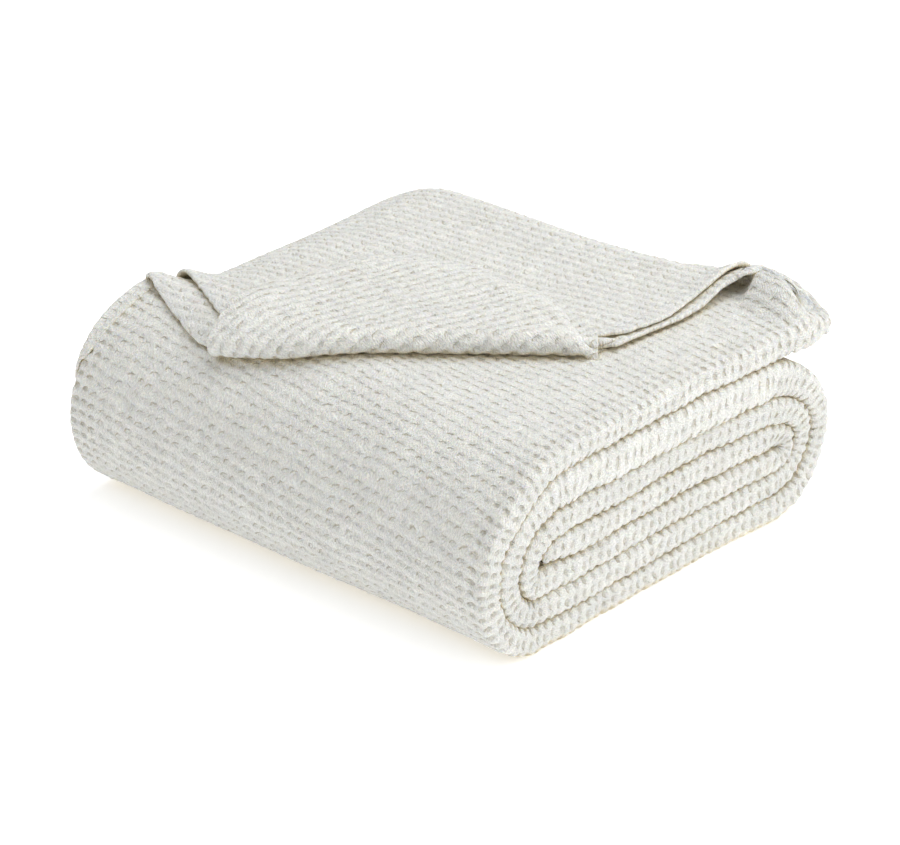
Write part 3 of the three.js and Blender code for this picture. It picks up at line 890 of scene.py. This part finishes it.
def flap_point(flat_x, u, h):
    """A place h above the roll's top: flat_x runs on down over the roll's left end, and u runs
    on over the lip at the back."""
    x = np.maximum(flat_x, DRAPE_FROM)
    middle, rise = lip_middle(x), lip_top(x) - WRAP_TOP
    y, z, ny, nz = shoulder(u)
    z = z + rise * smooth((u - middle + LIP_AHEAD) / LIP_AHEAD)
    past = np.clip(u - middle, 0, None)
    angle = math.pi / 2 - past / LIP_DEEP
    sunk = np.maximum(step(past, *SINK_BEHIND), step(x, *SINK_RIGHT) * step(u, *SINK_BACK))
    level = h * (1 - sunk) - SINK * sunk
    high = (lip_top(x) - LIP_BOTTOM) / 2
    behind = past > 0
    y = np.where(behind, middle, y)
    z = np.where(behind, LIP_BOTTOM + high, z)
    ny = np.where(behind, np.cos(angle), ny)
    nz = np.where(behind, np.sin(angle), nz)
    y = y + np.where(behind, LIP_DEEP * ny, 0)
    z = z + np.where(behind, high * nz, 0)
    beyond = np.clip(DRAPE_FROM - flat_x, 0, None)
    bend = np.clip(beyond / DRAPE_BEND, 0, math.pi / 2)
    radius = np.where(beyond > 0, DRAPE_ROUND + level, 0)
    out = np.where(beyond > 0, -DRAPE_ROUND + radius * np.cos(bend), level)
    out = out - np.clip(beyond - DRAPE_BEND_LONG, 0, None)
    return pack(x - radius * np.sin(bend), y + ny * out, z + nz * out)


def fold_at(s):
    """A place on the front fold, s from its right end: x, u, and the direction behind it."""
    k = np.array(FOLD_LINE)
    t = np.linspace(1, len(k) - 2, 400)
    i = np.minimum(t.astype(int), len(k) - 3)
    f = (t - i)[:, None]
    a, b, c, d = k[i - 1], k[i], k[i + 1], k[i + 2]
    p = b + 0.5 * f * (c - a + f * (2 * a - 5 * b + 4 * c - d + f * (3 * (b - c) + d - a)))
    gone = path_marks(p)
    way = unit(np.gradient(p, axis=0))
    x, u = np.interp(s, gone, p[:, 0]), np.interp(s, gone, p[:, 1])
    return x, u, np.interp(s, gone, way[:, 1]), np.interp(s, gone, -way[:, 0])


def fold_u(x):
    s = np.linspace(0, 220, 300)
    fx, fu, _, _ = fold_at(s)
    return np.interp(-x, -fx, fu)


def lower_front(x):
    """Where the lower ply's front edge lies: just behind the fold, then out to the left."""
    d = np.clip(LOWER_FRONT_FROM - x, -40, None)
    behind_fold = fold_u(np.maximum(x, -100)) + BEHIND_FOLD
    start, slope, curve = LOWER_FRONT
    return np.maximum(behind_fold, start + slope * d + curve * d * np.abs(d))


def upper_front(x):
    behind_fold = fold_u(np.maximum(x, -60)) + BEHIND_FOLD
    return np.maximum(behind_fold, UPPER_FRONT[0] + UPPER_FRONT[1] * (UPPER_FRONT_FROM - x))


def lower_right(u):
    """How far right the lower ply's edge stands, from front to back."""
    return 98.5 + 4.0 * bump((u - 205) / 30) + 10.0 * step(u, 246, 20)


def upper_right(u):
    inward = 5.0 * smooth((172 - u) / 14)
    return 93.5 + 7.0 * bump((u - 195) / 28) - inward + 6.0 * step(u, 262, 20)


LOWER = {"front": lower_front, "right": lower_right, "h": LOWER_H, "flare": (-146.0, 4.0)}
UPPER = {"front": upper_front, "right": upper_right, "h": UPPER_H, "flare": (-136.0, 3.5)}


def ply_surface(ply, flat_x, t, above=0.0):
    """A place on one ply of the flap: flat_x from its right edge, t from front to back."""
    front = ply["front"](flat_x)
    back = lip_middle(flat_x) + FLAP_OVER
    u = front + (back - front) * t
    u = u + EDGE_WAVE[0] * noise2(flat_x, ply["h"], EDGE_WAVE_SIZE, 51) * bump((u - front) / 4)
    shift = (ply["right"](u) - ply["right"](RIGHT_AT)) * step(flat_x, 30, 60)
    wave = EDGE_WAVE[1] * noise2(u, ply["h"], EDGE_WAVE_SIZE, 52)
    x = flat_x + (shift + wave * step(flat_x, 60, 30))
    edge = ply["right"](u) - x
    where, much = ply["flare"]
    flare = hump(flat_x, u - front, much, (where, 0), FLARE_OVER)
    lift = EDGE_LIFT * bump(edge / EDGE_LIFT_OVER) + flare
    return settle(flap_point(x, u, ply["h"] + above + lift)), x, -u


def make_ply(name, ply, gap):
    right = float(ply["right"](RIGHT_AT))
    wide = stations(right - FLAP_LEFT, gap)
    long = stations(FLAP_LONG, gap) / FLAP_LONG
    p, across, along = ply_surface(ply, (right - wide)[None, :], long[:, None])
    obj = closed_sheet(name, p, across, along, KNIT, THIN, PLY_RELIEF)
    return obj, (right - FLAP_LEFT, FLAP_LONG)


# ---- The folded corner ----

def corner_reach(k):
    """How far the folded corner reaches back over the flap, at k from right to left."""
    rise = CORNER_TOP * (1 - (1 - np.clip(k / CORNER_PEAK, 0, 1)) ** 1.8)
    past = np.clip((k - CORNER_PEAK) / (1 - CORNER_PEAK), 0, 1)
    return 2.0 + rise - CORNER_DROP * (1 - np.sqrt(1 - past * past))


def corner_inner_reach(k):
    shorter = INNER_SHORTER * step(k, *INNER_SHORTER_FROM)
    return corner_reach(k + 0.03 * bump(k / 0.12)) - shorter


OUTER = {"reach": corner_reach, "low": LOWER_H, "high": OUTER_H, "end": 8.4}
INNER = {"reach": corner_inner_reach, "low": UPPER_H, "high": INNER_H, "end": 8.9}


def turned_over(x, u):
    """Where a place on the folded corner was before it was turned over the straight mean fold."""
    from_x, from_u = x - FOLD_MEAN["x"], u - FOLD_MEAN["u"]
    along_fold = from_x * FOLD_MEAN["way"][0] + from_u * FOLD_MEAN["way"][1]
    back_x = FOLD_MEAN["x"] + 2 * along_fold * FOLD_MEAN["way"][0] - from_x
    back_u = FOLD_MEAN["u"] + 2 * along_fold * FOLD_MEAN["way"][1] - from_u
    return back_x, -back_u


def fold_radius(layer):
    return (layer["high"] - layer["low"]) / 2


def corner_surface(layer, k, v, above=0.0):
    """A place on the folded corner: k from right to left along the fold, v from under the fold,
    round it and back over the top."""
    radius = fold_radius(layer)
    half_turn = math.pi * radius
    g = np.clip(v - half_turn, 0, None)
    bend = np.clip(v / radius, 0, math.pi)
    slant = SLANT * step(v, -TUCK, TUCK) * (1 - smooth(k / SLANT_OVER))
    x, u, nx, nu = fold_at(FOLD_START + FOLD_LONG * k + slant)
    back = g - np.clip(v, None, 0) - radius * np.sin(bend)
    h = (layer["low"] + layer["high"]) / 2 - radius * np.cos(bend)
    near_end = smooth((g - layer["reach"](k) + DROP_OVER) / DROP_OVER)
    drop = (layer["high"] - layer["end"]) * near_end
    place = pack(x, u + g, 0.0)
    rumple = RUMPLE * noise3(place, RUMPLE_SIZE, 31) * step(k, *RUMPLE_LEFT) * smooth(v / 8)
    puff = hump(k, g, *PUFF) + SWELL * noise3(place, SWELL_SIZE, 32)
    narrow = NARROW * (h - layer["low"]) * (1 - smooth(k / NARROW_OVER))
    h = h + above - drop - narrow + smooth(g / 6) * (rumple + puff - hump(k, g, *DIP))
    p = flap_point(x + nx * back, u + nu * back, h)
    out = v - half_turn / 2
    across, along = turned_over(x + nx * out, u + nu * out)
    return settle(p), across, along


def make_corner(name, layer, gap):
    half_turn = math.pi * fold_radius(layer)
    k = stations(FOLD_LONG, gap)[None, :] / FOLD_LONG
    first = np.concatenate([[-TUCK], spread(-TUCK, half_turn, 0.8)])[:-1, None] + 0 * k
    rest = stations(CORNER_TOP, gap)[4:, None] / CORNER_TOP
    t = (rest - rest[0]) / (1 - rest[0])
    v = np.concatenate([first, half_turn + t * layer["reach"](k)])
    p, across, along = corner_surface(layer, k, v)
    obj = closed_sheet(name, p, across, along, KNIT, THIN, CORNER_RELIEF)
    return obj


def lip_axis_blend(obj):
    """Bakes the object's placement into its points."""
    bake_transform(obj)


def make_flap():
    lower, size = make_ply("flap_lower", LOWER, 1.45)
    upper, _ = make_ply("flap_upper", UPPER, 1.15)
    for obj in (lower, upper):
        lip_axis_blend(obj)
    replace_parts(lower, "flap_lower_ply")
    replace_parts(upper, "flap_upper_ply")
    outer = make_corner("corner_outer", OUTER, 1.0)
    inner = make_corner("corner_inner", INNER, 1.3)
    for obj, shrink in ((outer, 1.0), (inner, 0.85)):
        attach(obj, "folded_corner")
    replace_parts(outer, "corner_outer_ply")
    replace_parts(inner, "corner_inner_ply")


# ---- Hems ----

def plain_strip(name, p, a, b, thick=HEM_THICK):
    obj = closed_sheet(name, p, a, b, HEM_CLOTH, thick, HEM_RELIEF)
    return obj


def side_hem(name, ply):
    """The pressed edge down the right side of one ply of the flap."""
    right = float(ply["right"](RIGHT_AT))
    t = stations(SIDE_HEM_LONG, 1.3) / SIDE_HEM_LONG * 0.93
    wide = stations(HEM, 0.9)
    p, a, b = ply_surface(ply, (right + HEM_PROUD - wide)[None, :], t[:, None])
    obj = plain_strip(name, p, a, b)
    lip_axis_blend(obj)
    return obj


def front_hem(name, ply, tip):
    """The pressed edge along the front of one ply, from the folded corner's tip leftwards."""
    long = stations(tip - FLAP_LEFT, 1.3)
    wide = stations(HEM, 0.9)
    flat_x = (tip - long)[None, :]
    front = ply["front"](flat_x)
    back = lip_middle(flat_x) + FLAP_OVER
    t = (wide[:, None] - HEM_PROUD) / (back - front)
    p, a, b = ply_surface(ply, flat_x + 0 * t, t)
    obj = plain_strip(name, p, a, b)
    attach(obj, "flap")
    return obj


def corner_hem(name, layer, k_range):
    """The pressed edge of the folded corner, along the top of the cuff."""
    k = np.linspace(*k_range, 150)[None, :]
    wide = stations(HEM, 0.9)[:, None]
    beyond = np.maximum(layer["reach"](k) + HEM_PROUD - HEM + wide, 0.2)
    p, a, b = corner_surface(layer, k, math.pi * fold_radius(layer) + beyond)
    obj = plain_strip(name, p, a, b)
    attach(obj, "folded_corner")
    return obj


def roll_hem_surface(path, marks, slip, distance):
    """The pressed edge of the rolled strip: it starts on top of the left end and slips round
    the end's curve lower down."""
    turned = (distance[None, :] - slip[:, None]) / END_ROUND
    left = -HALF + END_ROUND
    bend = np.clip(-turned, 0, 2.7)
    round_x = left - (END_ROUND + 0.5) * np.sin(bend) ** END_SQUARE
    x = np.where(turned > 0, left + turned * END_ROUND, round_x)
    x = x - end_wander(marks)[:, None]
    n = np.cos(bend) * 1.06
    yz = between(path[:, None, 0:2], path[:, None, 2:4], n[..., None])
    return settle(np.concatenate([x[..., None], yz], axis=-1))


def make_roll_hems():
    stretches = roll_stretches()
    ends = [[y, WRAP_TOP, y, WRAP_TOP - BAND] for y in (FRONT_REACH[0], TOP_HEM_END)]
    plans = (("outer_turn_hem", np.concatenate([stretches["under"], stretches["front"]])),
             ("top_wrap_hem", np.array(ends)))
    for name, points in plans:
        path, marks = resample(points, 1.6)
        slip = 4.0 + 15.0 * smooth((102.0 - path[:, 1]) / 50.0)
        wide = stations(HEM, 1.0)
        p = roll_hem_surface(path, marks + 37.0, slip, wide)
        a = np.broadcast_to(wide[None, :], p.shape[:2])
        b = np.broadcast_to(marks[:, None], p.shape[:2])
        obj = plain_strip("rolled_" + name, p[:, ::-1], a, b, thick=2.4)
        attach(obj, "roll")
        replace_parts(obj, name)


def make_hems():
    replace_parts(side_hem("lower_side_hem", LOWER), "flap_lower_side_hem")
    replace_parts(side_hem("upper_side_hem", UPPER), "flap_upper_side_hem")
    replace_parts(front_hem("lower_front_hem", LOWER, -76.0), "flap_lower_front_hem")
    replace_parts(front_hem("upper_front_hem", UPPER, -66.0), "flap_upper_front_hem")
    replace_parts(corner_hem("cuff_outer_hem", OUTER, (0.0, 0.98)), "corner_outer_hem")
    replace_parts(corner_hem("cuff_inner_hem", INNER, (0.0, 0.3)), "corner_inner_hem")


# ---- Stitches and the label ----

def stitch_places(line):
    """The middle of each stitch along a line, and its directions ahead, aside and up."""
    gone = path_marks(line)
    marks = np.arange(STITCH_STEP / 2, gone[-1], STITCH_STEP)
    centre = along_path(marks, gone, line)
    ahead = unit(along_path(marks + 1.0, gone, line) - centre)
    side = unit(np.cross(ahead, [0, 0, 1.0]))
    return centre, ahead, side, np.cross(side, ahead)


def tube_faces(rings, around):
    """Quads of one tube with so many rings of so many points."""
    rows = np.arange(rings - 1)[:, None] * around
    cols = np.arange(around)[None, :]
    following = (cols + 1) % around
    quads = [rows + cols, rows + following, rows + around + following, rows + around + cols]
    return np.stack(quads, axis=-1).reshape(-1, 4)


def stitch_row(name, line, node):
    """Short threads lying along a line of points, their ends sunk into the cloth."""
    centre, ahead, side, up = (v[:, None, None, :] for v in stitch_places(line))
    t = np.linspace(-1, 1, 9)
    turn = np.linspace(0, 2 * math.pi, 9)[:-1, None]
    size = (STITCH_WIDE * np.sqrt(np.clip(1 - t ** 4, 0, 1)))[None, :, None, None]
    ring = np.cos(turn) * side + np.sin(turn) * up
    place = (t * STITCH_LONG / 2)[None, :, None, None]
    sink = (-STITCH_ENDS_SUNK * t ** 2)[None, :, None, None]
    points = centre + ahead * place + ring * size + up * sink
    count = len(t) * len(turn)
    firsts = np.arange(len(centre))[:, None, None] * count
    faces = (firsts + tube_faces(len(t), len(turn))[None]).reshape(-1, 4)
    obj = mesh_object(name, to_row(points.reshape(-1, 3)), faces, THREAD_MATERIAL)
    spots = np.arange(len(centre) * count)
    add_cloth_layers(obj, spots, spots * 0.013, spots * 0.007, np.zeros(len(spots)))
    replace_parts(obj, node)
    return obj


def make_stitches():
    t = np.linspace(0.06, 0.86, 160)
    right = float(UPPER["right"](RIGHT_AT))
    p, _, _ = ply_surface(UPPER, right - STITCH_IN + 0 * t, t, STITCH_ABOVE)
    lip_axis_blend(stitch_row("side_hem_thread", p, "side_hem_stitch"))
    for name, ply, tip, node in (("lower_front_thread", LOWER, -84.0, "lower_front_stitch"),
                                 ("upper_front_thread", UPPER, -80.0, "upper_front_stitch")):
        flat_x = np.linspace(tip, FLAP_LEFT + 6, 160)
        t = STITCH_IN / (lip_middle(flat_x) + FLAP_OVER - ply["front"](flat_x))
        p, _, _ = ply_surface(ply, flat_x, t, STITCH_ABOVE)
        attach(stitch_row(name, p, node), "flap")
    k = np.linspace(0.14, 0.96, 200)
    v = math.pi * fold_radius(OUTER) + OUTER["reach"](k) - STITCH_IN
    p, _, _ = corner_surface(OUTER, k, v, STITCH_ABOVE)
    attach(stitch_row("cuff_hem_thread", p, "corner_hem_stitch"), "folded_corner")
    y = np.linspace(-LABEL["wide"] / 2 + 1, LABEL["wide"] / 2 - 1, 30)
    line = settle(pack(-HALF - 2.2, LABEL["y"] + y, LABEL["top"] - 2.5))
    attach(stitch_row("label_thread", line, "label_stitch"), "roll")


def make_label():
    wide = stations(LABEL["wide"], 1.4, 0.25)[None, :]
    drop = stations(LABEL["drop"], 1.4, 0.25)[:, None]
    t = drop / LABEL["drop"]
    x = -HALF - 1.6 - 2.4 * t ** 1.5 + 0.8 * np.sin(3.0 * t + wide / 16)
    y = LABEL["y"] - LABEL["wide"] / 2 + wide + 0 * drop
    z = LABEL["top"] - drop + 0 * wide
    p = settle(pack(x, y, z))
    obj = closed_sheet("care_label_cloth", p, y / 10, z / 10, SATIN, LABEL["thick"], NO_RELIEF)
    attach(obj, "label")
    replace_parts(obj, "care_label")


# ---- Scene: distances in millimetres for the camera, in metres for the lights ----

CAMERA_AZIMUTH, CAMERA_ELEVATION = 42.3, 26.0
CAMERA_DISTANCE = 2122.0
CAMERA_TARGET = (0.0, DEPTH / 2, 56.6)
SENSOR = 36.0
CAMERA_LENS = 157.92
CAMERA_ASIDE, CAMERA_BELOW = 0.8062, 11.2335
WORLD_LIGHT, FLOOR_GLOW, FLOOR_GREY = 0.67, 0.36, 0.97
FLOOR_HALF, FLOOR_GAP = 6.0, 0.0004


def point_at(obj, place, way):
    obj.location = place
    obj.rotation_euler = way.to_track_quat("-Z", "Y").to_euler()


def make_camera():
    azimuth, elevation = math.radians(CAMERA_AZIMUTH), math.radians(CAMERA_ELEVATION)
    target = np.array(CAMERA_TARGET)
    back = np.array([math.sin(azimuth) * math.cos(elevation),
                     -math.cos(azimuth) * math.cos(elevation), math.sin(elevation)])
    right = np.cross([0, 0, 1], back)
    right /= np.linalg.norm(right)
    up = np.cross(back, right)
    aim = target + right * CAMERA_ASIDE - up * CAMERA_BELOW
    camera = bpy.data.cameras.new("camera")
    camera.sensor_width = SENSOR
    camera.lens = CAMERA_LENS
    camera.clip_end = 20.0
    obj = add_object("camera", camera)
    place = Vector(to_row(target + back * CAMERA_DISTANCE))
    point_at(obj, place, Vector(to_row(aim)) - place)
    bpy.context.scene.camera = obj


def area_light(name, place, size, power):
    light = bpy.data.lights.new(name, "AREA")
    light.shape = "SQUARE"
    light.size = size
    light.energy = power
    point_at(add_object(name, light), place, -Vector(place))


def make_studio():
    world = bpy.data.worlds.new("studio")
    world.use_nodes = True
    background = world.node_tree.nodes["Background"]
    background.inputs["Color"].default_value = WHITE
    background.inputs["Strength"].default_value = WORLD_LIGHT
    bpy.context.scene.world = world
    bpy.context.scene.view_settings.view_transform = "Standard"
    area_light("overhead", (0.4, 0.7, 2.4), 2.4, 45)
    area_light("right", (2.2, 0.2, 1.2), 2.0, 14)

    floor, _, shader = new_material("floor")
    shader.inputs["Base Color"].default_value = (FLOOR_GREY, FLOOR_GREY, FLOOR_GREY, 1)
    shader.inputs["Emission Color"].default_value = WHITE
    shader.inputs["Emission Strength"].default_value = FLOOR_GLOW
    shader.inputs["Roughness"].default_value = 0.9
    half = FLOOR_HALF
    corners = np.array([[-half, -half, 0], [half, -half, 0], [half, half, 0], [-half, half, 0]])
    below = [0, 0, FLOOR_Z - FLOOR_GAP]
    plane = mesh_object("floor", corners + below, np.array([[0, 1, 2, 3]]), floor)


make_camera()
make_studio()
rolled = make_turns()
make_top(rolled)
make_roll_hems()
make_flap()
make_hems()
make_stitches()
make_label()
